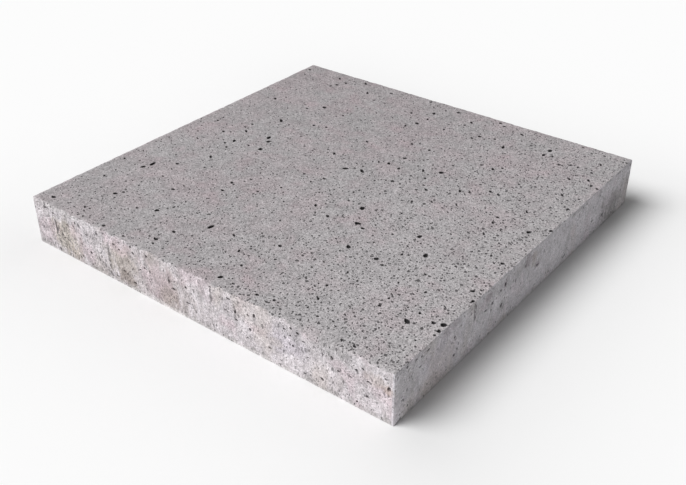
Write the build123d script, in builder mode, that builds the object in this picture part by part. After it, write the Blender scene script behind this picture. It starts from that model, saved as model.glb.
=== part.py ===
from build123d import *
import os

# Concrete paving slab, pressed in one piece. Millimetres, +Z up, the bed face on Z = 0.

# Slab
side_x = 500.0  # length along X
side_y = 500.0  # length along Y
thickness = 60.0  # bed face to wearing face
arris_radius = 1.2  # rubbed edges of the wearing face, and the upright corners
bed_arris = 0.8  # broken edge around the bed face

# Round blow holes, the mouths of burst air bubbles in the wearing face
large_mouth = 6.0
large_depth = 2.6
small_mouth = 4.6
small_depth = 2.2

# Long blow holes, where two bubbles ran together
oval_run = 4.2  # between the middles of the two bubbles
oval_width = 4.4
oval_depth = 2.4

# Places of the blow holes, from the middle of the wearing face, as shares of the two sides
large_hole_shares = [
    (-0.28, 0.28), (0.17, 0.16), (-0.25, -0.01), (0.15, -0.14), (0.48, -0.33), (-0.46, -0.47),
]
small_hole_shares = [
    (-0.03, 0.35), (0.14, 0.38), (0.06, 0.17), (0.46, 0.05),
    (0.26, -0.23), (-0.23, -0.37), (-0.36, -0.38), (0.06, -0.47),
]

# Place along X, place along Y, and the turn about +Z as a share of a half turn
oval_hole_shares = [
    (0.32, 0.42, 0.50), (-0.32, 0.15, 0.70), (-0.28, 0.05, 0.65), (-0.02, 0.04, 0.25), (0.02, 0.05, 0.80),
    (0.12, -0.09, 0.55), (0.34, -0.16, 0.55), (-0.40, -0.23, 0.50), (-0.09, -0.35, 0.50), (0.43, -0.36, 0.80),
]


def bubble_radius(mouth, depth):
    """Radius of the bubble that leaves a hole of this mouth and depth."""
    return (mouth**2 / 4 + depth**2) / (2 * depth)


def on_wearing_face(shares, rise):
    """Points above the wearing face, one for each pair of shares."""
    return [(side_x * share_x, side_y * share_y, thickness + rise) for share_x, share_y in shares]


large_radius = bubble_radius(large_mouth, large_depth)
small_radius = bubble_radius(small_mouth, small_depth)
oval_radius = bubble_radius(oval_width, oval_depth)

# A long bubble: half a slot turned about its own length
with BuildPart() as long_bubble:
    with BuildSketch():
        SlotCenterToCenter(oval_run, 2 * oval_radius)
        split(bisect_by=Plane.XZ, keep=Keep.BOTTOM)
    revolve(axis=Axis.X)

with BuildPart() as slab:
    # The block as it leaves the mould
    with BuildSketch():
        Rectangle(side_x, side_y)
    extrude(amount=thickness)

    # Upright corners and the edges of the wearing face are rubbed round, the bed edges only broken
    wearing_edges = slab.faces().sort_by(Axis.Z)[-1].edges()
    fillet(slab.edges().filter_by(Axis.Z) + wearing_edges, radius=arris_radius)
    chamfer(slab.faces().sort_by(Axis.Z)[0].edges(), length=bed_arris)

    # Open blow holes in the wearing face
    with Locations(*on_wearing_face(large_hole_shares, large_radius - large_depth)):
        Sphere(large_radius, mode=Mode.SUBTRACT)
    with Locations(*on_wearing_face(small_hole_shares, small_radius - small_depth)):
        Sphere(small_radius, mode=Mode.SUBTRACT)
    for share_x, share_y, turn_share in oval_hole_shares:
        mouth_centre = on_wearing_face([(share_x, share_y)], oval_radius - oval_depth)[0]
        with Locations(Location(mouth_centre, (0, 0, 180 * turn_share))):
            add(long_bubble.part, mode=Mode.SUBTRACT)

slab.part.label = "paving_slab"

os.makedirs("parts", exist_ok=True)
export_step(slab.part, "parts/paving_slab.step")
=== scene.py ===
import math
import random

import bmesh
import bpy
import numpy as np
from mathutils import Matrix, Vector


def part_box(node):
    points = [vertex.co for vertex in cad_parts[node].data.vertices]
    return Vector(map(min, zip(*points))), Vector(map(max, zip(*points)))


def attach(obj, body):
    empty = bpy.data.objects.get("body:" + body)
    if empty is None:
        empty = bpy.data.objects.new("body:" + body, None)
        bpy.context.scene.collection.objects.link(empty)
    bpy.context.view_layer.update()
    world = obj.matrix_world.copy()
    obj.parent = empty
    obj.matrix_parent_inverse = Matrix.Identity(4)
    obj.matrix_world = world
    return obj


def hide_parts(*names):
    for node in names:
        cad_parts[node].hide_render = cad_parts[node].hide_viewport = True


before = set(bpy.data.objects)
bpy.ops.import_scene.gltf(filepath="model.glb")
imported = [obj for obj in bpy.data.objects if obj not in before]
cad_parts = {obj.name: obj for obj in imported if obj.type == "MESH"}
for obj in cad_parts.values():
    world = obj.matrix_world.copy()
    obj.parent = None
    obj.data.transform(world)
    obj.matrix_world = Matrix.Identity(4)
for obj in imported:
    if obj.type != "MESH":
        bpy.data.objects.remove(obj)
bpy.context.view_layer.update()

mm = 0.001  # the frame is in metres, the plans below in millimetres
slabLow, slabHigh = (Vector(corner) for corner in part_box("paving_slab"))
slabSize = slabHigh - slabLow
slabMiddle = (slabLow + slabHigh) / 2
halfX = slabSize.x / 2 / mm
halfY = slabSize.y / 2 / mm
topHeight = slabHigh.z / mm
print("frame: slab of", [round(side / mm, 1) for side in slabSize], "mm")


# Picking and modifiers

aligned = 0.99  # least cosine at which a face or an edge counts as lying along an axis


def pick(piece, kind, test):
    # selects the faces or the edges that pass the test, and nothing else
    bpy.ops.mesh.select_mode(type=kind)
    bpy.ops.mesh.select_all(action="DESELECT")
    mesh = bmesh.from_edit_mesh(piece.data)
    for element in mesh.faces if kind == "FACE" else mesh.edges:
        element.select_set(test(element))
    bmesh.update_edit_mesh(piece.data)


def applyModifier(piece, kind, name, **settings):
    modifier = piece.modifiers.new(name, kind)
    for key, value in settings.items():
        setattr(modifier, key, value)
    bpy.context.view_layer.objects.active = piece
    bpy.ops.object.modifier_apply(modifier=name)


def cloudTexture(name, size, depth, contrast=1.0):
    texture = bpy.data.textures.new(name, type="CLOUDS")
    texture.noise_scale = size * mm
    texture.noise_depth = depth
    texture.contrast = contrast
    return texture


# The six faces of the slab: two directions in the face, its outward normal and its half sizes

faces = {
    "top": ((1, 0, 0), (0, 1, 0), (0, 0, 1), halfX, halfY),
    "bed": ((0, 1, 0), (1, 0, 0), (0, 0, -1), halfY, halfX),
    "front": ((1, 0, 0), (0, 0, 1), (0, -1, 0), halfX, topHeight / 2),
    "back": ((-1, 0, 0), (0, 0, 1), (0, 1, 0), halfX, topHeight / 2),
    "right": ((0, 1, 0), (0, 0, 1), (1, 0, 0), halfY, topHeight / 2),
    "left": ((0, -1, 0), (0, 0, 1), (-1, 0, 0), halfY, topHeight / 2),
}


# Block: a cube with rubbed arrises, divided finely along its edges and sides

blockPlan = {
    "arris": 0.9,          # width of the rubbed upper and upright edges
    "arrisSegments": 3,
    "foot": 0.4,           # width of the broken lower edge
    "footSegments": 2,
    "border": 4.0,         # finely divided strip inside the upper arrises
    "footBorder": 0.3,     # and inside the lower ones, narrower than their rounded corners
    "step": 4.95,          # spacing of the divisions along the edges
    "heightStep": 6.0,     # and up the sides
    "longEdge": 20.0,      # only edges longer than this are divided
    "slack": 0.1,          # how far a point may lie from the plane or edge that it is counted to
    "topWear": 0.8,        # deepest wear of the upper arrises
    "footWear": 0.3,       # and of the upright and lower ones
    "arrisGrain": 6.0,
    "arrisDetail": 3,
    "arrisContrast": 1.6,
    "sideWear": 0.35,      # unevenness of the moulded sides
    "sideGrain": 30.0,
    "sideDetail": 1,
    "smoothAngle": 32,     # degrees; steeper edges stay sharp
}


def makeBlock(plan):
    bpy.ops.object.select_all(action="DESELECT")
    bpy.ops.mesh.primitive_cube_add(size=1, location=slabMiddle)
    block = bpy.context.object
    block.name = "concreteSlab"
    block.scale = slabSize
    bpy.ops.object.transform_apply(location=True, rotation=False, scale=True)

    bpy.ops.object.mode_set(mode="EDIT")
    low = slabLow.z + plan["foot"] * mm
    pick(block, "EDGE", lambda edge: max(vertex.co.z for vertex in edge.verts) > low)
    bpy.ops.mesh.bevel(offset=plan["arris"] * mm, segments=plan["arrisSegments"], affect="EDGES")
    pick(block, "EDGE", lambda edge: max(vertex.co.z for vertex in edge.verts) < low)
    bpy.ops.mesh.bevel(offset=plan["foot"] * mm, segments=plan["footSegments"], affect="EDGES")

    # a border inside the top and bed arrises; the middle is opened while the edges are divided
    wide = 0.5 * slabSize.x * slabSize.y
    for facing, border in ((1, plan["border"]), (-1, plan["footBorder"])):
        pick(block, "FACE", lambda face: face.normal.z * facing > aligned and face.calc_area() > wide)
        bpy.ops.mesh.inset(thickness=border * mm)
        bpy.ops.mesh.delete(type="FACE")
    for axis in range(3):
        step = plan["heightStep"] if axis == 2 else plan["step"]
        cuts = int(slabSize[axis] / mm / step) - 1

        def alongAxis(edge, axis=axis):
            run = edge.verts[1].co - edge.verts[0].co
            return run.length > plan["longEdge"] * mm and abs(run[axis]) > aligned * run.length

        pick(block, "EDGE", alongAxis)
        bpy.ops.mesh.subdivide(number_cuts=cuts)
    bpy.ops.mesh.select_all(action="SELECT")
    bpy.ops.mesh.fill_holes(sides=0)
    bpy.ops.mesh.select_all(action="SELECT")
    bpy.ops.mesh.normals_make_consistent(inside=False)
    bpy.ops.object.mode_set(mode="OBJECT")
    return block


def wearBlock(block, plan):
    # how near each vertex is to the planes of the box, in millimetres
    points = np.array([vertex.co for vertex in block.data.vertices]) / mm
    gaps = np.stack([halfX - abs(points[:, 0]), halfY - abs(points[:, 1]),
                     topHeight - points[:, 2], points[:, 2]], axis=1)
    nearest = np.sort(gaps, axis=1)
    slack = plan["slack"]
    sideGap = gaps[:, :2].min(axis=1)
    onBed = (gaps[:, 3] < slack) & (sideGap > plan["foot"] + slack)
    onArris = (nearest[:, 1] < plan["arris"] + slack) & ~onBed
    onTop = onArris & (gaps[:, 2] < plan["arris"] + slack)
    onSide = (sideGap < slack) & ~onArris
    arrisCloud = cloudTexture("arrisCloud", plan["arrisGrain"], plan["arrisDetail"], plan["arrisContrast"])
    sideCloud = cloudTexture("sideCloud", plan["sideGrain"], plan["sideDetail"])
    for name, members, wear, texture in (("topArris", onTop, plan["topWear"], arrisCloud),
                                         ("otherArris", onArris & ~onTop, plan["footWear"], arrisCloud),
                                         ("side", onSide, plan["sideWear"], sideCloud)):
        group = block.vertex_groups.new(name=name)
        group.add([int(index) for index in np.flatnonzero(members)], 1.0, "REPLACE")
        applyModifier(block, "DISPLACE", name, vertex_group=name, mid_level=0.0, strength=-wear * mm,
                      texture_coords="LOCAL", texture=texture)
        print("wear:", name, int(members.sum()), "points")


# Blow holes: one joined mesh of small bowls that is cut from the block

holePlan = {
    "seed": 11,
    "lip": 0.22,             # broken lip around a mouth
    "lipDepth": 0.20,
    "ringShares": ((0.95, 0.40), (0.66, 0.82)),   # radius and depth of the rings under the lip
    "plainMouth": 2.4,       # mouths under this have no lip
    "plainShares": (1.06, 0.82, 0.6),   # radius above the face and below it, and the lower ring's depth
    "wobbleShares": (0.12, 0.08),
    "anyAngle": 6.3,
    "sidesOf": ((3.4, 12), (2.4, 9), (0.0, 7)),   # mouths over each width get this many sides
    "grow": 1.10,            # the listed holes are made this much wider
    "topDepthShare": 0.6,    # and this deep, as a share of the width that was read
    "sideDepthShare": 0.75,
    "gap": 0.5,              # least wall between two holes
    "clearShare": 1.2,       # room for the wobble of a rim
    "edgeGap": 3.0,          # least distance from an arris
    "turnSpread": 0.35,      # radians by which scattered holes turn off their direction
    "triesPerHole": 60,
}

# The larger holes of the wearing face, as read: places as shares of the two sides, mouth, length and turn
largeHoles = [
    (-0.28, 0.28, 5.6, 5.8, 0), (0.17, 0.16, 5.6, 6.0, 0), (-0.25, -0.01, 5.6, 6.0, 0),
    (0.152, -0.144, 6.0, 6.2, 0), (0.4905, -0.3325, 5.6, 6.0, 0), (-0.458, -0.473, 4.6, 5.0, 150),
    (-0.027, 0.35, 4.4, 6.4, 130), (0.142, 0.383, 4.8, 5.0, 0), (0.06, 0.168, 4.6, 4.8, 0),
    (0.46, 0.049, 4.6, 5.4, 60), (0.265, -0.231, 4.8, 5.0, 0), (-0.23, -0.371, 4.8, 5.0, 0),
    (-0.361, -0.377, 4.4, 5.2, 145), (0.061, -0.471, 4.6, 5.0, 60), (0.32, 0.42, 4.4, 8.2, 90),
    (-0.318, 0.146, 4.0, 8.8, 128), (-0.276, 0.05, 4.8, 7.4, 120), (-0.021, 0.038, 4.4, 8.2, 45),
    (0.017, 0.052, 4.4, 8.2, 142), (0.122, -0.087, 5.0, 7.4, 97), (0.337, -0.16, 4.2, 8.2, 97),
    (-0.402, -0.227, 4.4, 9.0, 95), (-0.087, -0.348, 4.4, 8.4, 92), (0.431, -0.364, 4.4, 8.6, 144),
    (-0.409, -0.251, 4.6, 6.4, 80), (-0.262, 0.033, 4.6, 5.6, 45), (0.318, 0.39, 4.0, 6.0, 95),
    (-0.025, 0.428, 3.8, 6.8, 120), (0.173, -0.154, 4.0, 4.4, 150), (0.193, -0.23, 4.2, 7.0, 140),
    (0.287, -0.107, 3.8, 7.2, 90), (-0.289, 0.479, 3.8, 7.0, 125), (-0.349, 0.423, 4.0, 6.2, 125),
    (0.079, -0.314, 4.0, 4.4, 20), (0.477, -0.209, 4.0, 4.2, 0), (-0.179, -0.217, 4.0, 4.4, 0),
    (-0.187, -0.178, 3.8, 4.6, 145), (0.103, 0.056, 4.0, 4.4, 100), (-0.333, -0.016, 4.0, 6.2, 125),
    (-0.355, -0.19, 4.0, 4.4, 0), (-0.271, -0.283, 3.6, 4.2, 160), (-0.144, -0.453, 4.4, 5.2, 155),
    # towards the front
    (0.287, -0.242, 3.6, 3.8, 0), (0.375, -0.217, 2.8, 3.2, 90), (0.4945, -0.2365, 3.6, 4.2, 100),
    (0.297, -0.187, 3.0, 3.6, 90), (0.189, -0.252, 2.8, 3.0, 0), (0.408, -0.267, 2.8, 3.6, 100),
    (0.436, -0.329, 3.0, 3.8, 110), (0.472, -0.338, 4.0, 4.2, 0), (0.4935, -0.353, 3.8, 4.8, 95),
    (0.363, -0.356, 3.0, 3.6, 110), (0.244, -0.365, 2.8, 4.0, 95), (0.258, -0.409, 2.8, 4.6, 130),
    (0.292, -0.453, 2.8, 3.2, 0), (0.195, -0.464, 3.0, 3.4, 120), (0.188, -0.477, 3.0, 3.2, 0),
    (0.399, -0.481, 2.8, 4.4, 130), (0.37, -0.48, 2.8, 3.4, 110), (-0.112, -0.172, 3.0, 3.4, 140),
    (-0.135, -0.41, 3.6, 4.8, 130), (-0.136, -0.468, 2.8, 3.2, 0), (-0.163, -0.453, 2.8, 3.2, 0),
    (0.097, -0.472, 3.0, 3.2, 0), (0.158, -0.471, 3.6, 3.8, 0), (0.066, -0.416, 2.8, 4.2, 125),
    (-0.025, -0.342, 2.8, 5.6, 138), (0.025, -0.38, 2.8, 4.8, 120), (-0.127, -0.312, 2.8, 3.4, 145),
    (-0.151, -0.325, 2.8, 3.2, 0), (0.105, -0.358, 2.8, 3.2, 90), (-0.351, -0.362, 3.2, 3.4, 0),
    (-0.273, -0.39, 3.0, 4.2, 140), (-0.211, -0.339, 2.8, 3.2, 150), (-0.337, -0.254, 3.0, 3.4, 140),
    (-0.367, -0.458, 3.0, 4.4, 145), (-0.339, -0.486, 2.8, 3.2, 140), (-0.272, -0.485, 3.4, 4.2, 130),
    (-0.447, -0.337, 3.0, 4.0, 130), (-0.477, -0.249, 2.8, 4.2, 135), (0.4935, -0.3675, 2.8, 3.2, 90),
    # across the middle
    (0.187, 0.069, 3.8, 4.6, 150), (0.171, 0.084, 2.8, 4.0, 130), (0.169, 0.056, 3.2, 3.4, 0),
    (0.192, 0.004, 3.0, 4.6, 110), (0.307, 0.152, 3.2, 5.4, 105), (0.329, 0.15, 3.2, 5.4, 115),
    (0.272, 0.12, 3.0, 4.0, 90), (0.228, 0.03, 3.0, 3.4, 140), (0.219, 0.013, 3.2, 3.6, 100),
    (0.247, -0.028, 2.8, 3.0, 0), (0.377, 0.062, 3.6, 4.0, 30), (0.38, 0.037, 2.8, 5.6, 115),
    (0.4945, 0.0825, 3.4, 5.0, 100), (0.388, -0.015, 2.8, 5.0, 115), (0.475, -0.09, 4.0, 4.6, 170),
    (0.443, -0.078, 2.8, 3.4, 120), (0.408, -0.041, 2.8, 3.2, 0), (0.237, -0.134, 3.0, 3.4, 160),
    (0.251, 0.112, 2.6, 8.0, 115), (0.416, 0.122, 2.6, 6.6, 120), (-0.005, 0.053, 3.0, 3.2, 0),
    (0.045, 0.122, 3.8, 5.6, 130), (0.079, 0.115, 3.6, 5.0, 115), (0.022, 0.114, 3.2, 3.6, 90),
    (-0.091, 0.083, 3.4, 5.6, 130), (-0.03, -0.032, 3.8, 4.2, 0), (-0.082, -0.042, 2.8, 4.4, 140),
    (-0.045, -0.062, 2.8, 4.2, 140), (0.082, -0.16, 4.0, 4.8, 120), (0.032, -0.14, 3.2, 5.6, 130),
    (0.117, 0.007, 3.2, 3.6, 120), (0.123, 0.103, 3.2, 3.6, 0), (0.155, 0.113, 3.0, 4.4, 130),
    (0.13, 0.143, 2.6, 8.6, 120), (-0.081, -0.126, 3.0, 4.0, 120), (-0.162, -0.139, 2.8, 4.2, 150),
    (-0.363, 0.084, 3.2, 4.8, 120), (-0.347, 0.043, 3.4, 6.6, 135), (-0.366, 0.06, 3.0, 4.2, 130),
    (-0.344, -0.038, 3.0, 4.6, 130), (-0.325, -0.053, 2.8, 5.0, 135), (-0.392, 0.006, 3.0, 6.2, 135),
    (-0.318, -0.115, 3.2, 6.2, 130), (-0.29, -0.163, 3.0, 3.4, 160), (-0.417, -0.062, 2.8, 4.6, 150),
    (-0.287, -0.013, 2.8, 4.6, 125), (-0.217, 0.107, 2.8, 3.4, 120), (-0.45, 0.045, 2.8, 5.6, 140),
    # towards the back
    (0.339, 0.396, 3.0, 4.6, 105), (0.222, 0.458, 3.6, 7.0, 135), (0.219, 0.366, 3.2, 8.6, 110),
    (0.257, 0.25, 3.4, 6.6, 110), (0.273, 0.268, 3.0, 4.0, 120), (0.225, 0.252, 3.6, 4.2, 60),
    (0.18, 0.394, 3.0, 4.8, 110), (0.371, 0.367, 3.4, 4.8, 95), (0.395, 0.383, 3.2, 3.6, 130),
    (0.413, 0.382, 2.8, 4.2, 95), (0.451, 0.376, 3.4, 4.0, 130), (0.461, 0.337, 3.2, 5.6, 115),
    (0.477, 0.317, 3.2, 5.4, 105), (0.423, 0.316, 3.0, 5.0, 115), (0.45, 0.428, 2.8, 6.6, 115),
    (0.377, 0.486, 3.2, 4.0, 100), (0.439, 0.475, 3.2, 3.6, 120), (0.443, 0.238, 3.2, 5.0, 110),
    (0.482, 0.243, 2.8, 3.8, 100), (0.483, 0.187, 3.2, 4.0, 140), (-0.073, 0.486, 3.6, 4.8, 140),
    (-0.043, 0.32, 3.2, 5.6, 105), (0.023, 0.473, 4.4, 4.8, 0), (0.082, 0.442, 3.2, 5.6, 110),
    (0.077, 0.417, 3.0, 4.6, 110), (0.131, 0.364, 3.6, 5.0, 110), (0.145, 0.484, 4.2, 4.4, 0),
    (0.163, 0.473, 3.6, 4.8, 110), (0.03, 0.243, 3.4, 5.0, 120), (0.083, 0.241, 3.6, 4.0, 110),
    (-0.067, 0.185, 2.8, 6.6, 125), (-0.075, 0.395, 3.0, 5.6, 125), (-0.019, 0.388, 3.0, 5.4, 120),
    (0.048, 0.363, 3.0, 5.0, 120), (-0.192, 0.468, 4.4, 4.8, 0), (-0.358, 0.406, 3.4, 4.6, 130),
    (-0.37, 0.463, 3.0, 6.6, 130), (-0.337, 0.448, 3.2, 6.0, 125), (-0.247, 0.43, 2.8, 7.0, 125),
    (-0.203, 0.401, 3.4, 3.8, 0), (-0.482, 0.463, 3.0, 5.6, 135), (-0.424, 0.243, 3.6, 5.6, 140),
    (-0.313, 0.247, 3.0, 5.0, 130), (-0.209, 0.27, 3.2, 4.2, 140), (-0.199, 0.187, 3.4, 3.8, 0),
    (-0.232, 0.177, 3.2, 4.8, 130), (0.4945, 0.311, 3.2, 4.0, 90),
]

# Holes of the two sides towards the camera, as read: millimetres along the side and down from the
# wearing face, width and height
sideHoles = {
    "front": [
        (21.6, 7.4, 4.4, 2.8), (34, 10.6, 5.4, 2.4), (58, 17, 3.8, 2.4), (68.6, 14.6, 3.8, 2.0),
        (108, 9, 2.2, 7.0), (120.6, 4.5, 4.4, 2.2), (135.6, 12, 5.4, 2.8), (144, 15.5, 4.6, 2.4),
        (145, 6, 4.4, 2.0), (163, 4.4, 3.2, 3.2), (166.4, 11, 3.6, 3.4), (187.6, 6.6, 3.8, 3.2),
        (182.4, 23, 3.6, 2.8), (175.4, 28, 2.8, 2.4), (219, 24, 2.4, 5.0), (225.6, 31, 5.2, 3.4),
        (243.6, 21, 2.8, 3.2), (245, 40, 7.4, 2.6), (94, 39, 3.6, 3.6), (49, 37, 3.8, 2.4),
        (164, 50, 4.4, 3.4), (136, 53, 4.4, 2.4), (74, 53, 3.8, 2.4), (90, 18, 4.4, 2.4),
        (149, 40.6, 4.4, 2.4), (279, 5, 3.6, 2.4), (303.6, 8.4, 7.0, 2.4), (298.6, 23.6, 4.4, 2.4),
        (312, 20, 2.8, 5.0), (313, 29.4, 3.6, 2.8), (328.6, 16.4, 2.4, 3.8), (336.6, 13.6, 3.6, 4.6),
        (330.6, 33, 3.0, 4.4), (355.4, 43, 4.6, 2.8), (327, 44.6, 4.4, 2.0), (375, 11, 4.4, 2.4),
        (382, 15.5, 2.8, 2.6), (383, 6.6, 3.8, 2.8), (391, 8.6, 3.6, 2.8), (385, 26, 3.0, 3.0),
        (398, 15, 3.8, 2.4), (403, 31, 3.8, 2.0), (419.6, 48, 3.8, 3.4), (399, 52, 3.6, 2.4),
        (431, 17, 2.8, 4.4), (439, 28.6, 4.4, 2.4), (452, 28, 4.4, 2.4), (459, 17, 3.6, 3.2),
        (466, 12, 2.8, 2.8), (472, 23.4, 3.8, 2.8), (494, 20, 3.8, 4.8), (491, 10.6, 4.8, 2.4),
        (459.6, 53, 2.8, 2.8), (471, 41, 3.6, 2.8), (484.4, 32, 2.8, 2.0), (420, 19, 1.8, 6.0),
    ],
    "right": [
        (33, 5.5, 4.0, 2.2), (19, 4.5, 3.2, 2.2), (42, 7.5, 3.6, 2.2), (52, 6.5, 5.0, 2.4),
        (40, 18, 3.8, 2.2), (98, 21, 3.2, 2.8), (94, 25.5, 3.6, 2.0), (99, 43, 4.4, 2.8),
        (104, 38.5, 3.6, 2.6), (167, 22, 4.4, 3.0), (155, 24, 6.0, 2.2), (166, 30.5, 2.4, 5.0),
        (192, 13, 3.8, 5.0), (183.6, 16, 2.8, 3.4), (187, 36, 4.4, 4.8), (234, 13.5, 2.6, 3.6),
        (262, 27, 7.6, 2.6), (275, 16, 2.6, 4.4), (399, 38.6, 5.0, 3.0), (428, 44, 4.2, 4.0),
        (424, 32, 2.0, 5.0), (13, 38, 3.6, 2.2), (20, 31, 2.0, 4.4), (366, 5.5, 2.8, 3.4),
        (412, 11, 3.4, 2.6),
    ],
}

# Smaller holes on each face: how many, their mouths, and the length and direction of their stretch
sideScatter = {"power": 1.8, "stretch": (1.0, 1.9), "turn": 90, "depthShare": 0.42}
scatterPlan = {
    "top": {"count": 2400, "mouths": (1.3, 2.7), "power": 2.5, "stretch": (1.0, 1.5), "turn": 128,
            "depthShare": 0.55},
    "front": {"count": 90, "mouths": (1.4, 2.4), **sideScatter},
    "right": {"count": 70, "mouths": (1.4, 2.4), **sideScatter},
    "back": {"count": 90, "mouths": (1.5, 3.8), **sideScatter},
    "left": {"count": 90, "mouths": (1.5, 3.8), **sideScatter},
    "bed": {"count": 160, "mouths": (2.0, 5.0), "power": 1.8, "stretch": (0.8, 1.4), "turn": 0,
            "depthShare": 0.40},
}

# How open the wearing face is in its middle, and how much more to the right, in front and where they meet
opennessPlan = {"middle": 0.47, "slope": 0.10, "right": 0.24, "front": 0.035, "corner": 0.10}


def easedShare(value, low, high):
    share = min(max((value - low) / (high - low), 0), 1)
    return share * share * (3 - 2 * share)


def topOpenness(u, v, ramp):
    # for numbers and for wires alike; u and v run from -1 to 1
    plan = opennessPlan
    right = ramp(u, 0.0, 0.9)
    front = ramp(v, -0.2, -0.9)
    return (plan["middle"] + plan["slope"] * u + plan["right"] * right
            + front * (plan["front"] + plan["corner"] * right))


def hasRoom(place, reach, taken):
    # holes stay clear of each other, with their lips and the wobble of their rims
    room = holePlan["gap"] + 4 * holePlan["lip"] + holePlan["clearShare"] * reach
    return all(math.dist(place, other[:2]) > room + holePlan["clearShare"] * other[2] for other in taken)


def scatterHoles(name, plan, rng, taken):
    halfU, halfV = faces[name][3:]
    holes = []
    tries = 0
    while len(holes) < plan["count"] and tries < holePlan["triesPerHole"] * plan["count"]:
        tries += 1
        u = rng.uniform(-1, 1)
        v = rng.uniform(-1, 1)
        if name == "top" and rng.random() > topOpenness(u, v, easedShare):
            continue
        low, high = plan["mouths"]
        mouth = low + (high - low) * rng.random() ** plan["power"]
        length = mouth * rng.uniform(*plan["stretch"])
        reach = max(mouth, length) / 2
        margin = reach + holePlan["edgeGap"]
        place = (u * (halfU - margin), v * (halfV - margin))
        if not hasRoom(place, reach, taken):
            continue
        taken.append((*place, reach))
        turn = math.radians(plan["turn"]) + rng.gauss(0, holePlan["turnSpread"])
        holes.append((*place, mouth, length, turn, plan["depthShare"] * min(mouth, length)))
    return holes


def bowlMesh(name, holes, rng):
    # rings of points for each hole, from just above the face down to its lowest point
    along, across, outward = (np.array(part, float) for part in faces[name][:3])
    middle = np.array(slabMiddle) / mm
    base = middle + outward * np.array((halfX, halfY, topHeight / 2))
    points = []
    polygons = []
    lip, lipDepth = holePlan["lip"], holePlan["lipDepth"]
    for u, v, mouth, length, turn, depth in holes:
        sides = next(count for width, count in holePlan["sidesOf"] if mouth >= width)
        angles = np.arange(sides) * 2 * math.pi / sides
        first, second = holePlan["wobbleShares"]
        wobble = 1 + first * np.sin(2 * angles + rng.uniform(0, holePlan["anyAngle"]))
        wobble += second * np.sin(3 * angles + rng.uniform(0, holePlan["anyAngle"]))
        p = np.cos(angles) * wobble * length / 2
        q = np.sin(angles) * wobble * mouth / 2
        rim = np.stack([p * math.cos(turn) - q * math.sin(turn),
                        p * math.sin(turn) + q * math.cos(turn)], axis=1)
        outwards = rim / np.linalg.norm(rim, axis=1)[:, None]
        if mouth < holePlan["plainMouth"]:
            above, below, sunk = holePlan["plainShares"]
            rings = [(rim * above, lipDepth), (rim * below, -depth * sunk)]
        else:
            rings = [(rim + 2 * lip * outwards, lipDepth), (rim, -lipDepth)]
            for radiusShare, depthShare in holePlan["ringShares"]:
                rings.append((rim * radiusShare, -depth * depthShare))
        start = len(points)
        for ring, height in rings:
            for a, b in ring:
                points.append(base + along * (u + a) + across * (v + b) + outward * height)
        points.append(base + along * u + across * v - outward * depth)
        polygons.append([start + i for i in range(sides)])
        for level in range(len(rings) - 1):
            upper = start + level * sides
            for i in range(sides):
                j = (i + 1) % sides
                polygons.append([upper + j, upper + i, upper + sides + i, upper + sides + j])
        lowest = start + (len(rings) - 1) * sides
        for i in range(sides):
            polygons.append([lowest + (i + 1) % sides, lowest + i, len(points) - 1])
    return points, polygons


# Chips: squashed, uneven balls that are cut from the upper arrises along with the holes

chipPlan = {
    "seed": 5,
    "perEdge": 11,
    "reaches": (0.7, 2.0),   # how far a chip goes into the wearing face
    "reachPower": 2.5,       # most chips are small
    "lengths": (1.2, 2.6),   # its length along the arris, as a multiple
    "longest": 0.42,         # and at most this share of the pitch
    "drops": (0.5, 1.1),     # how far it goes down the side, as a multiple
    "places": (0.42, 0.58),  # where in its stretch of the arris it lies
    "endGap": 12.0,
    "outShare": 0.35,        # how far outside the arris the ball's middle lies
    "riseShare": 0.3,
    "ballReach": 1.35,
    "ballDrop": 1.3,
    "swell": 0.18,
}


def chipMesh(plan):
    # each ball is centred just outside the arris
    rng = random.Random(plan["seed"])
    bpy.ops.mesh.primitive_ico_sphere_add(subdivisions=2, radius=1)
    ball = bpy.context.object
    ballPoints = [vertex.co.copy() for vertex in ball.data.vertices]
    ballPolygons = [list(polygon.vertices) for polygon in ball.data.polygons]
    bpy.data.objects.remove(ball)
    points = []
    polygons = []
    for name in ("front", "right", "back", "left"):
        along, outward = Vector(faces[name][0]), Vector(faces[name][2])
        half = faces[name][3]
        out = halfY if name in ("front", "back") else halfX
        pitch = 2 * (half - plan["endGap"]) / plan["perEdge"]
        for index in range(plan["perEdge"]):
            low, high = plan["reaches"]
            reach = low + (high - low) * rng.random() ** plan["reachPower"]
            length = min(reach * rng.uniform(*plan["lengths"]), plan["longest"] * pitch)
            drop = reach * rng.uniform(*plan["drops"])
            middle = plan["endGap"] - half + (index + rng.uniform(*plan["places"])) * pitch
            centre = along * middle + outward * (out + plan["outShare"] * reach)
            centre = centre + Vector((0, 0, topHeight + plan["riseShare"] * drop))
            start = len(points)
            for co in ballPoints:
                swell = 1 + plan["swell"] * math.sin(5 * co.x + 3 * index) * math.cos(4 * co.z + index)
                spot = centre + along * (co.x * length * swell)
                spot = spot + outward * (co.y * plan["ballReach"] * reach * swell)
                points.append(spot + Vector((0, 0, co.z * plan["ballDrop"] * drop * swell)))
            flip = along.cross(outward).z < 0
            for polygon in ballPolygons:
                corners = [start + corner for corner in polygon]
                polygons.append(corners[::-1] if flip else corners)
    return points, polygons


def readHoles(name):
    # the holes listed for this face, in the form that bowlMesh takes
    halfU, halfV = faces[name][3:]
    grow = holePlan["grow"]
    if name == "top":
        share = holePlan["topDepthShare"]
        return [(shareX * 2 * halfU, shareY * 2 * halfV, mouth * grow, length * grow, math.radians(turn),
                 share * mouth) for shareX, shareY, mouth, length, turn in largeHoles]
    share = holePlan["sideDepthShare"]
    return [(along - halfU, halfV - down, high * grow, wide * grow, 0.0, share * min(high, wide))
            for along, down, wide, high in sideHoles.get(name, [])]


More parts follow.
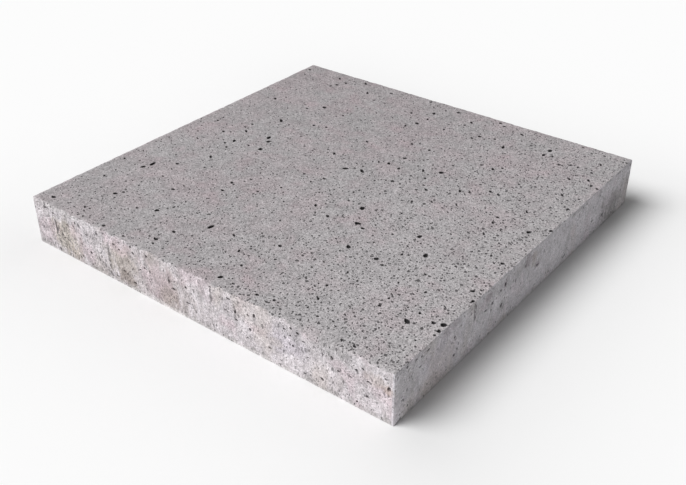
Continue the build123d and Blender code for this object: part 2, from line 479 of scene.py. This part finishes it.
def makeHoleCutter():
    rng = random.Random(holePlan["seed"])
    parts = []
    for name, plan in scatterPlan.items():
        taken = []
        holes = []
        for hole in readHoles(name):
            reach = max(hole[2:4]) / 2
            if not hasRoom(hole[:2], reach, taken):
                print("holes: no room on", name, "at", [round(part, 1) for part in hole[:2]])
                continue
            taken.append((*hole[:2], reach))
            holes.append(hole)
        holes += scatterHoles(name, plan, rng, taken)
        parts.append(bowlMesh(name, holes, rng))
        print("holes:", name, len(holes))
    parts.append(chipMesh(chipPlan))
    allPoints = []
    allPolygons = []
    for points, polygons in parts:
        start = len(allPoints)
        allPoints += points
        allPolygons += [[start + index for index in polygon] for polygon in polygons]
    mesh = bpy.data.meshes.new("holeCutter")
    mesh.from_pydata([Vector(point) * mm for point in allPoints], [], allPolygons)
    cutter = bpy.data.objects.new("holeCutter", mesh)
    bpy.context.collection.objects.link(cutter)
    return cutter


def cutHoles(block):
    cutter = makeHoleCutter()
    applyModifier(block, "BOOLEAN", "blowHoles", object=cutter, operation="DIFFERENCE", solver="MANIFOLD")
    bpy.data.objects.remove(cutter)


# Own map for the bake: the wearing face large, the sides as strips beside it, the bed small

mapPlan = {
    "top": ((0.005, 0.005), (0.80, 0.80)),
    "right": ((0.815, 0.005), (0.80, 0.085)),
    "left": ((0.910, 0.005), (0.80, 0.085)),
    "front": ((0.005, 0.815), (0.80, 0.085)),
    "back": ((0.005, 0.910), (0.80, 0.085)),
    "bed": ((0.815, 0.815), (0.18, 0.18)),
}
leastFacing = 0.02  # a polygon isn't laid on the strip of a face that it turns away from
farAway = 100


def layMap(block):
    mesh = block.data
    while mesh.uv_layers:
        mesh.uv_layers.remove(mesh.uv_layers[0])
    layer = mesh.uv_layers.new(name="OFBake")
    names = list(faces)
    middle = np.array(slabMiddle) / mm
    normals = np.array([faces[name][2] for name in names], float)
    reach = np.array([abs(np.array(faces[name][2]) * (halfX, halfY, topHeight / 2)).sum() for name in names])
    uvs = np.zeros((len(mesh.loops), 2))
    for polygon in mesh.polygons:
        centre = np.array(polygon.center) / mm - middle
        facing = normals @ np.array(polygon.normal)
        depth = reach - normals @ centre
        depth[facing < leastFacing] += farAway
        name = names[int(np.argmin(depth))]
        along, across = (np.array(part, float) for part in faces[name][:2])
        halfU, halfV = faces[name][3:]
        (left, low), (width, height) = mapPlan[name]
        for loop in polygon.loop_indices:
            point = np.array(mesh.vertices[mesh.loops[loop].vertex_index].co) / mm - middle
            share = ((along @ point) / halfU / 2 + 0.5, (across @ point) / halfV / 2 + 0.5)
            u, v = share[0] * width, share[1] * height
            uvs[loop] = (left + v, low + u) if name in ("right", "left") else (left + u, low + v)
    layer.data.foreach_set("uv", uvs.ravel())


# Concrete

class Wire:
    # a socket that takes part in sums, each of which adds a Math node
    def __init__(self, finish, socket):
        self.finish = finish
        self.socket = socket

    def sum(self, operation, first, second=None):
        values = {0: first} if second is None else {0: first, 1: second}
        made = self.finish.node("ShaderNodeMath", {"operation": operation}, values)
        return Wire(self.finish, made.outputs[0])

    def __add__(self, other):
        return self.sum("ADD", self, other)

    def __radd__(self, other):
        return self.sum("ADD", other, self)

    def __sub__(self, other):
        return self.sum("SUBTRACT", self, other)

    def __rsub__(self, other):
        return self.sum("SUBTRACT", other, self)

    def __mul__(self, other):
        return self.sum("MULTIPLY", self, other)

    def __rmul__(self, other):
        return self.sum("MULTIPLY", other, self)

    def __truediv__(self, other):
        return self.sum("DIVIDE", self, other)

    def __abs__(self):
        return self.sum("ABSOLUTE", self)

    def atMost(self, other):
        return self.sum("MINIMUM", self, other)

    def atLeast(self, other):
        return self.sum("MAXIMUM", self, other)

    def power(self, other):
        return self.sum("POWER", self, other)

    def exponent(self):
        return self.sum("EXPONENT", self)

    def ramp(self, low, high):
        # 0 at low and 1 at high, eased; low may be the larger
        made = self.finish.node("ShaderNodeMapRange", {"interpolation_type": "SMOOTHSTEP"},
                                {"Value": self, "From Min": low, "From Max": high})
        return Wire(self.finish, made.outputs["Result"])


class Finish:
    # the nodes of a material or of the world
    def __init__(self, owner):
        owner.use_nodes = True
        self.owner = owner
        self.tree = owner.node_tree
        self.tree.nodes.clear()

    def node(self, kind, settings=None, values=None):
        made = self.tree.nodes.new(kind)
        for key, value in (settings or {}).items():
            setattr(made, key, value)
        for key, value in (values or {}).items():
            if isinstance(value, Wire):
                self.tree.links.new(value.socket, made.inputs[key])
            else:
                made.inputs[key].default_value = value
        return made

    def wire(self, made, output=0):
        return Wire(self, made.outputs[output])

    def blend(self, factor, first, second, kind="MIX"):
        made = self.node("ShaderNodeMix", {"data_type": "RGBA", "blend_type": kind, "clamp_factor": True},
                         {"Factor": factor})
        for key, value in ((6, first), (7, second)):
            if isinstance(value, Wire):
                self.tree.links.new(value.socket, made.inputs[key])
            else:
                made.inputs[key].default_value = (*value, 1)
        return Wire(self, made.outputs[2])

    def noise(self, place, size, detail=2.0, roughness=0.5):
        # clouds of about this size in millimetres, 0 to 1 about 0.5
        made = self.node("ShaderNodeTexNoise", {}, {"Vector": place, "Scale": 1 / size,
                                                   "Detail": detail, "Roughness": roughness})
        return self.wire(made, "Fac")


concretePlan = {
    "topColour": (0.406, 0.388, 0.395),
    "topPink": (0.438, 0.352, 0.374),
    "skinColour": (0.720, 0.676, 0.702),
    "wornColour": (0.600, 0.556, 0.574),
    "sidePink": (0.660, 0.552, 0.590),
    # cool grey of the right side, a painted shade tint
    "rightShadeColour": (0.610, 0.602, 0.640),
    "bedColour": (0.44, 0.42, 0.42),
    # near black inside the pores and holes: painted shade, with some dust
    "poreShadeColour": (0.014, 0.013, 0.014),
    "footColour": (0.36, 0.35, 0.335),
    "roughness": 0.93,
    "gloss": 0.25,
    "grainBump": (1.7, 0.8),   # on the sides, and how much less on the wearing face
    "fleckBump": 1.5,
    "poreBump": 0.6,
    # where the open grey face runs over the front arris
    "spillPlace": 418.0,
    "spillHalf": 40.0,
    "spillDepth": 8.0,
    "spillLift": 0.2,
    "spillSize": 9,
    "spillRag": (5, 11),       # raggedness of the edge all round, and more on the front
    # sizes of the clouds, in millimetres
    "grainSize": 2.4,
    "gritSize": 4.6,
    "cloudSize": 18,
    "openSize": 17,
    "pinkSize": 40,
    "blushSize": 26,
    "mottleSize": 9,
    "fleckSize": 3.4,
    "skinSize": 13,
    "veinSize": 8,
    "streakSize": 6,
    "raggedSize": 9,
    "beigeSize": 45,
    # fine pores
    "poreStretch": (1.25, 1.0, 1.8),
    "poreBend": 2.4,
    "bendScale": 0.28,
    "poreGrow": (0.88, 0.20),  # their size, and how much larger where the face is open
    "fullOpen": 0.62,          # openness at which a family has its whole share of pores
    "poreShade": (0.70, 0.30, 0.15),   # painted shade in the fine pores: on the sides, more on the wearing face and on the front's left
    "holeShade": (0.60, 0.38),  # the same for the holes, whose painted shade deepens with their depth
    # how lively and open the sides are
    "rightCalm": 0.48,         # the right side is plainer
    "farCalm": 0.18,           # though less so at its far end
    "leftLively": 0.28,        # the left end of the front is livelier
    "endCalm": 0.18,           # and its right end plainer
    "sideOpen": (0.40, 0.75),
    "leftOpen": 0.28,
    # wearing face
    "topTone": 0.820,
    "topGrain": 1.8,
    "grainShare": (0.40, 0.85, 0.03),   # all over, where it is open, and less towards the back
    "topGrit": 0.6,
    "topCloud": 0.40,
    "topRimHighlights": 0.40,           # pale rims of the pores, painted highlights on their lips
    "rimHighlightShare": (0.75, 0.45),  # all over, and where it is open
    "topEdge": 0.045,          # paler along the arrises
    "topFall": (0.028, 0.069),   # darker towards the right and the back
    "topFront": (0.030, 0.025),  # darker in front, but less to the right
    "pinkShare": 0.37,
    "blushShare": 0.26,
    "lessPink": (0.215, 0.085, 0.05),   # all over, to the right and to the front
    # sides
    "sideTone": 0.966,
    "sideGrain": 1.6,
    "sideMottle": 1.2,
    "sideFleck": 0.9,
    "sideStreak": 0.25,
    "sideVein": 0.30,
    # pale rims of the pores on the sides, painted highlights on their lips
    "sideRimHighlights": 0.20,
    "frontRise": 0.09,         # the front is paler to the right
    "frontFootBounce": 0.24,         # and along its foot, painted bounce light from the floor
    "rightLowLightAndFade": (0.30, 0.06, 0.05),   # the right side is paler low down, painted light from the floor, and darker in all and to the back
    # a paler band along the right side's foot, painted bounce light from the floor
    "rightFootBounce": 0.08,
    "sideBlush": 0.6,
    # how far the right side is drawn towards that cool painted shade tint
    "rightShadeShare": 0.55,
    "beigeShare": 0.35,
    "footShare": 0.42,
    "footRag": 26,
    "darkRag": 7,              # raggedness of the dark stains and of the others
    "stainRag": 4.5,
}

# Fine pores: cell, radius, share of cells that have one, darkness (painted shade inside the pore)
poreFamilies = [
    (6.0, 1.7, 0.38, 0.92),
    (3.5, 1.25, 0.95, 0.88),
    (2.3, 0.80, 0.95, 0.75),
]

stainColours = {
    "olive": (0.57, 0.505, 0.415),
    "beige": (0.57, 0.50, 0.45),
    "brown": (0.43, 0.37, 0.345),
    "rust": (0.42, 0.31, 0.25),
    "lilac": (0.62, 0.57, 0.64),
    "grey": (0.38, 0.365, 0.37),
    "plum": (0.38, 0.325, 0.36),
    "pink": (0.64, 0.52, 0.56),
    "dark": (0.13, 0.12, 0.12),
    "pale": (0.74, 0.71, 0.71),
}

# Stains on the two sides towards the camera: millimetres along the side and down from the wearing
# face, half length, half height, colour and strength
stains = {
    "front": [
        (54, 35, 26, 23, "olive", 0.55), (36.5, 36, 2.0, 20, "dark", 0.80), (73, 28, 3.0, 26, "pale", 0.55),
        (68, 48, 13, 12, "beige", 0.6), (126, 32, 2.4, 20, "dark", 0.75), (144, 28, 24, 22, "olive", 0.45),
        (152, 50, 14, 10, "brown", 0.6), (217, 38, 18, 22, "brown", 0.55), (216, 20, 6, 9, "grey", 0.45),
        (279, 14, 1.6, 9, "dark", 0.6), (311, 24, 1.8, 13, "dark", 0.5), (364, 32, 8, 5, "olive", 0.5),
        (378, 24, 24, 20, "lilac", 0.5), (380, 12, 20, 8, "grey", 0.45), (428, 7, 26, 9, "grey", 0.7),
        (480, 17, 13, 8, "rust", 0.38), (493, 23, 7, 6, "rust", 0.60), (48, 3, 46, 3, "pale", 0.5),
        (195, 34, 65, 34, "brown", 0.32), (438, 14, 62, 17, "grey", 0.30),
        (140, 10, 22, 12, "pink", 0.55), (202, 32, 24, 24, "pink", 0.5), (70, 22, 12, 12, "pink", 0.45),
        (88, 40, 16, 14, "pink", 0.45), (16, 38, 14, 16, "pink", 0.45), (217, 46, 13, 13, "brown", 0.55),
        (151, 47, 10, 9, "brown", 0.45), (195, 60, 65, 5, "pale", 0.6), (330, 60, 60, 4, "pale", 0.4),
    ],
    "right": [
        (18, 30, 20, 30, "grey", 0.30), (75, 30, 36, 22, "lilac", 0.35), (54, 50, 22, 11, "brown", 0.30),
        (133.6, 14, 2.2, 10, "dark", 0.75), (116, 36, 1.4, 8, "dark", 0.3), (240, 10, 30, 6, "grey", 0.35),
        (160, 9, 9, 4, "plum", 0.55), (192, 13, 5, 8, "plum", 0.5), (241, 9, 10, 9, "plum", 0.5),
        (262, 26, 11, 4, "plum", 0.5), (90, 6, 17, 6, "plum", 0.4), (252, 14, 6, 12, "brown", 0.4),
        (350, 4, 11, 4, "grey", 0.5), (187, 37, 7, 8, "grey", 0.5), (333, 38, 5, 14, "grey", 0.3),
        (456, 46, 30, 24, "grey", 0.80), (440, 30, 22, 14, "plum", 0.30), (190, 12, 55, 14, "grey", 0.2),
        (485, 40, 16, 24, "grey", 0.35), (453, 48, 17, 17, "dark", 0.22), (427, 45, 8, 10, "dark", 0.22),
        (494, 42, 8, 24, "dark", 0.20), (424, 24, 5, 10, "grey", 0.40),
    ],
}


def makeConcrete(plan):
    finish = Finish(bpy.data.materials.new("openPoredConcrete"))
    coordinates = finish.node("ShaderNodeTexCoord")
    place = finish.wire(finish.node("ShaderNodeVectorMath", {"operation": "SCALE"},
                                    {0: finish.wire(coordinates, "Object"), "Scale": 1 / mm}))

    def stretched(height):
        # the same place with heights drawn together, so that shapes stand upright on the sides
        made = finish.node("ShaderNodeVectorMath", {"operation": "MULTIPLY"}, {0: place, 1: (1, 1, height)})
        return finish.wire(made)

    split = finish.node("ShaderNodeSeparateXYZ", {}, {0: place})
    x, y, z = (finish.wire(split, axis) for axis in range(3))
    shareX = x / halfX
    shareY = y / halfY

    # distances in millimetres from the planes of the slab
    sideGap = (halfX - abs(x)).atMost(halfY - abs(y))
    topGap = topHeight - z
    depth = sideGap.atMost(topGap).atMost(z)
    onFront = (halfY + y).ramp(3.0, 1.5)
    onRight = (halfX - x).ramp(3.0, 1.5)
    onFace = {"front": onFront, "right": onRight}
    along = {"front": x + halfX, "right": y + halfY}
    run = (along["front"] - plan["spillPlace"]) / plan["spillHalf"]
    spill = (run * run).ramp(1.2, 0.1) * onFront * plan["spillDepth"] - plan["spillLift"]
    allRound, more = plan["spillRag"]
    spill = spill + (finish.noise(place, plan["spillSize"], 3, 0.6) - 0.5) * (allRound + more * onFront)
    isTop = (sideGap - topGap + spill).ramp(-0.8, 0.8)
    isBed = (sideGap.atMost(topGap) - z).ramp(0.3, 0.9)

    # grain and clouds
    grain = finish.noise(place, plan["grainSize"], 3, 0.75)
    grit = finish.noise(place, plan["gritSize"], 2)
    cloud = finish.noise(place, plan["cloudSize"], 3)
    calm = 1 - onRight * (plan["rightCalm"] - shareY.ramp(0.4, 0.8) * plan["farCalm"])
    left = onFront * shareX.ramp(-0.3, -0.8)
    lively = calm + left * plan["leftLively"] - onFront * shareX.ramp(0.3, 0.9) * plan["endCalm"]
    openTop = topOpenness(shareX, shareY, Wire.ramp)
    least, more = plan["sideOpen"]
    openSide = (least + more * finish.noise(stretched(0.6), plan["openSize"], 2).ramp(0.42, 0.66)) * calm
    openSide = openSide + left * plan["leftOpen"]
    openness = openSide + isTop * (openTop - openSide)
    allOver, toRight, toFront = plan["lessPink"]
    lessPink = allOver + shareX.ramp(0.0, 0.9) * toRight - shareY * toFront
    pink = (finish.noise(place, plan["pinkSize"], 2, 0.5) - lessPink).ramp(0.10, 0.50)
    blush = finish.noise(place, plan["blushSize"], 1).ramp(0.54, 0.72)

    # fine pores too small to cut, slices through bubbles in 3D cells
    bend = finish.node("ShaderNodeTexNoise", {}, {"Vector": place, "Scale": plan["bendScale"], "Detail": 1})
    drawn = finish.node("ShaderNodeMapping", {"vector_type": "TEXTURE"},
                        {"Vector": place, "Rotation": (0, 0, math.radians(scatterPlan["top"]["turn"])),
                         "Scale": plan["poreStretch"]})
    bent = finish.wire(finish.node("ShaderNodeVectorMath", {"operation": "MULTIPLY_ADD"},
                                   {0: finish.wire(bend, "Color"), 1: (plan["poreBend"],) * 3,
                                    2: finish.wire(drawn)}))
    least, more = plan["poreGrow"]
    pores = None
    rimHighlights = None
    for cell, radius, share, darkness in poreFamilies:
        cells = finish.node("ShaderNodeTexVoronoi", {}, {"Vector": bent, "Scale": 1 / cell})
        away = finish.wire(cells, "Distance") * cell
        chance = finish.node("ShaderNodeSeparateColor", {}, {0: finish.wire(cells, "Color")})
        size = radius * (0.5 + 0.5 * finish.wire(chance, 0)) * (least + more * openness)
        present = (finish.wire(chance, 1) - openness * share / plan["fullOpen"]).ramp(0.02, -0.02)
        pore = (away - size).ramp(0.15, -0.35) * present * (darkness * (0.5 + 0.5 * finish.wire(chance, 2)))
        # a pale ring round each pore, a painted highlight on its lip
        rim = (away - size).ramp(1.0, 0.2) * present
        pores = pore if pores is None else pores.atLeast(pore)
        rimHighlights = rim if rimHighlights is None else rimHighlights.atLeast(rim)

    # wearing face: grey with faint pink clouds, sandy grain
    flush = pink * plan["pinkShare"] + blush * plan["blushShare"]
    topColour = finish.blend(flush, plan["topColour"], plan["topPink"])
    allOver, ifOpen, toBack = plan["grainShare"]
    grainShare = allOver + ifOpen * openTop - shareY * toBack
    topTone = plan["topTone"] + (grain - 0.5) * plan["topGrain"] * grainShare
    topTone = topTone + (grit - 0.5) * plan["topGrit"] + (cloud - 0.5) * plan["topCloud"]
    # painted highlights round the pores, stronger where the face is open
    allOver, ifOpen = plan["rimHighlightShare"]
    topTone = topTone + rimHighlights * plan["topRimHighlights"] * (allOver + ifOpen * openTop)
    topTone = topTone + sideGap.ramp(6.0, 1.0) * plan["topEdge"]
    toRight, toBack = plan["topFall"]
    topTone = topTone - shareX * toRight - shareY * toBack
    inFront, toRight = plan["topFront"]
    topTone = topTone - shareY.ramp(-0.2, -0.9) * (inFront - shareX * toRight)

    # sides: pale skin of the mould with upright streaks, stains and a greyer foot
    mottle = finish.noise(stretched(0.6), plan["mottleSize"], 4, 0.7)
    fleck = finish.noise(stretched(0.6), plan["fleckSize"], 2, 0.6)
    skin = finish.noise(stretched(0.7), plan["skinSize"], 5, 0.72).ramp(0.40, 0.60)
    vein = abs(finish.noise(stretched(0.45), plan["veinSize"], 3, 0.6) - 0.5).ramp(0.04, 0.0)
    vein = vein * fleck.ramp(0.40, 0.62)
    streak = finish.noise(stretched(0.12), plan["streakSize"], 3, 0.6)
    ragged = finish.noise(stretched(0.5), plan["raggedSize"], 4, 0.7)
    sideTone = plan["sideTone"] + (grain - 0.5) * plan["sideGrain"] * (0.5 + 0.5 * lively)
    sideTone = sideTone + (mottle - 0.5) * plan["sideMottle"] * lively
    sideTone = sideTone + (fleck - 0.5) * plan["sideFleck"] * (0.4 + 0.6 * lively)
    sideTone = sideTone + (streak - 0.5) * plan["sideStreak"] * calm - vein * plan["sideVein"] * calm
    # painted highlights on the lips of the pores
    sideTone = sideTone + rimHighlights * plan["sideRimHighlights"]
    # the front is paler to the right, and paler along its foot as painted bounce light from the floor
    sideTone = sideTone + onFront * (shareX * plan["frontRise"] + z.ramp(4.5, 0.5) * plan["frontFootBounce"])
    # the right side is paler low down and along its foot, painted light from the floor, and darker in all and
    # to the back
    down = topGap / topHeight
    paintedLowLight, inAll, toBack = plan["rightLowLightAndFade"]
    lowLightAndFade = down * down * paintedLowLight - inAll - shareY * toBack
    sideTone = sideTone + onRight * (lowLightAndFade + z.ramp(16, 2) * plan["rightFootBounce"])
    sideColour = finish.blend(skin * calm + (1 - calm) * 1.3, plan["wornColour"], plan["skinColour"])
    sideColour = finish.blend(blush * plan["sideBlush"], sideColour, plan["sidePink"])
    # the right side, which faces away from the lamp, is tinted cool grey: painted shade
    sideColour = finish.blend(onRight * plan["rightShadeShare"], sideColour, plan["rightShadeColour"])
    beige = finish.noise(stretched(0.5), plan["beigeSize"], 2).ramp(0.54, 0.70)
    sideColour = finish.blend(beige * plan["beigeShare"], sideColour, stainColours["beige"])
    foot = (z + (ragged - 0.5) * plan["footRag"]).ramp(7, 1) * (plan["footShare"] * calm)
    sideColour = finish.blend(foot, sideColour, plan["footColour"])
    darkRag = (fleck - 0.5) * plan["darkRag"]
    stainRag = (ragged - 0.5) * plan["stainRag"]
    for face, patches in stains.items():
        for u, v, halfU, halfV, colour, strength in patches:
            acrossShare = (along[face] - u) / halfU
            downShare = (topGap - v) / halfV
            away = acrossShare * acrossShare + downShare * downShare
            rag = darkRag if colour == "dark" else stainRag
            patch = (away + rag).ramp(1.5, 0.1) * onFace[face] * strength
            sideColour = finish.blend(patch, sideColour, stainColours[colour])

    colour = finish.blend(isTop, sideColour, topColour)
    colour = finish.blend(isBed, colour, plan["bedColour"])
    tone = sideTone + isTop * (topTone - sideTone)
    grey = finish.node("ShaderNodeCombineColor", {}, {0: tone, 1: tone, 2: tone})
    colour = finish.blend(1.0, colour, finish.wire(grey), "MULTIPLY")

    # pores and holes are dark inside, most in the wearing face: painted shade in the hollows, and dust
    least, onTop, onLeft = plan["poreShade"]
    poreShadeShare = pores * (least + onTop * isTop + onLeft * left)
    least, onTop = plan["holeShade"]
    holeShadeShare = depth.ramp(0.30, 1.2) * (least + onTop * isTop)
    colour = finish.blend(poreShadeShare.atLeast(holeShadeShare), colour, plan["poreShadeColour"])

    most, less = plan["grainBump"]
    height = (grain - 0.5) * (most - less * isTop)
    height = height + (fleck - 0.5) * plan["fleckBump"] * (1 - isTop) - pores * plan["poreBump"]
    bump = finish.node("ShaderNodeBump", {}, {"Strength": 1.0, "Distance": mm, "Height": height})
    shader = finish.node("ShaderNodeBsdfPrincipled", {}, {
        "Base Color": colour, "Roughness": plan["roughness"], "Specular IOR Level": plan["gloss"],
        "Normal": finish.wire(bump)})
    finish.node("ShaderNodeOutputMaterial", {}, {"Surface": finish.wire(shader)})
    return finish.owner


block = makeBlock(blockPlan)
print("block:", len(block.data.polygons), "faces")
wearBlock(block, blockPlan)
cutHoles(block)
layMap(block)
print("slab:", sum(len(face.vertices) - 2 for face in block.data.polygons), "triangles")
bpy.ops.object.select_all(action="DESELECT")
block.select_set(True)
bpy.context.view_layer.objects.active = block
bpy.ops.object.shade_smooth_by_angle(angle=math.radians(blockPlan["smoothAngle"]))
block.data.materials.clear()
block.data.materials.append(makeConcrete(concretePlan))
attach(block, "root")
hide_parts("paving_slab")


# Floor, light and camera

stagePlan = {
    "floorSize": 12.0,
    "floorSides": 96,
    "floorLevel": 0.985,
    "floorShade": 0.21,     # soft shade drawn on the floor around the slab
    "floorShadeReach": 85.0,
    "floorShadeShift": (22.0, 10.0),
    "skyStrength": 0.20,
    "backdrop": (0.97, 0.97, 0.97, 1),   # what the camera sees of the sky
    "sunDirection": (-0.52, -0.58, 1.0),
    "sunAngle": 40.0,       # degrees across, as wide as a large soft box
    "sunStrength": 3.14,
    "sunDistance": 2.0,
}


def makeFloor(plan):
    bpy.ops.mesh.primitive_circle_add(vertices=plan["floorSides"], radius=plan["floorSize"] / 2,
                                      fill_type="NGON")
    floor = bpy.context.object
    floor.name = "studioFloor"
    finish = Finish(bpy.data.materials.new("paleFloor"))
    coordinates = finish.node("ShaderNodeTexCoord")
    split = finish.node("ShaderNodeSeparateXYZ", {}, {0: finish.wire(coordinates, "Object")})
    outX, outY = ((abs(finish.wire(split, axis) / mm - plan["floorShadeShift"][axis]) - half).atLeast(0)
                  for axis, half in ((0, halfX), (1, halfY)))
    away = (outX * outX + outY * outY).power(0.5)
    shade = (away * (-1 / plan["floorShadeReach"])).exponent()
    level = plan["floorLevel"] * (1 - plan["floorShade"] * shade)
    pale = finish.node("ShaderNodeCombineColor", {}, {0: level, 1: level, 2: level})
    shader = finish.node("ShaderNodeBsdfDiffuse", {}, {"Color": finish.wire(pale)})
    finish.node("ShaderNodeOutputMaterial", {}, {"Surface": finish.wire(shader)})
    floor.data.materials.append(finish.owner)


def makeLight(plan):
    direction = Vector(plan["sunDirection"]).normalized()
    bpy.ops.object.light_add(type="SUN", location=direction * plan["sunDistance"])
    lamp = bpy.context.object
    lamp.name = "softLamp"
    lamp.rotation_euler = direction.to_track_quat("Z", "Y").to_euler()
    lamp.data.angle = math.radians(plan["sunAngle"])
    lamp.data.energy = plan["sunStrength"]

    # the sky lights the slab softly, and the camera, glossy and transmission rays see a white one
    world = bpy.data.worlds.new("studioSky")
    bpy.context.scene.world = world
    finish = Finish(world)
    path = finish.node("ShaderNodeLightPath")
    shown = finish.wire(path, "Is Camera Ray")
    for ray in ("Is Glossy Ray", "Is Transmission Ray"):
        shown = shown.atLeast(finish.wire(path, ray))
    sky = finish.node("ShaderNodeBackground", {}, {"Color": (1, 1, 1, 1), "Strength": plan["skyStrength"]})
    white = finish.node("ShaderNodeBackground", {}, {"Color": plan["backdrop"]})
    seen = finish.node("ShaderNodeMixShader", {}, {0: shown, 1: finish.wire(sky), 2: finish.wire(white)})
    finish.node("ShaderNodeOutputWorld", {}, {"Surface": finish.wire(seen)})


cameraPlan = {
    "imageWidth": 686,
    "focalPixels": 920.7,
    "sensor": 36.0,
    "azimuth": 37.79,       # degrees from looking along +Y, round to +X
    "elevation": 32.57,
    "distance": 1.109,      # metres from the middle of the bed
    "drop": 0.026,          # metres that the view's middle lies below the bed's middle
    "clipStart": 0.01,
}


def makeCamera(plan):
    azimuth = math.radians(plan["azimuth"])
    elevation = math.radians(plan["elevation"])
    back = Vector((math.sin(azimuth) * math.cos(elevation), -math.cos(azimuth) * math.cos(elevation),
                   math.sin(elevation)))
    right = Vector((0, 0, 1)).cross(back).normalized()
    up = back.cross(right)
    bpy.ops.object.camera_add(location=back * plan["distance"] - up * plan["drop"])
    camera = bpy.context.object
    camera.name = "photoView"
    camera.rotation_euler = back.to_track_quat("Z", "Y").to_euler()
    camera.data.sensor_width = plan["sensor"]
    camera.data.sensor_fit = "HORIZONTAL"
    camera.data.lens = plan["focalPixels"] * plan["sensor"] / plan["imageWidth"]
    camera.data.clip_start = plan["clipStart"]
    bpy.context.scene.camera = camera


makeFloor(stagePlan)
makeLight(stagePlan)
makeCamera(cameraPlan)
bpy.context.scene.view_settings.view_transform = "Standard"
print("stage: floor, lamp, sky and camera")
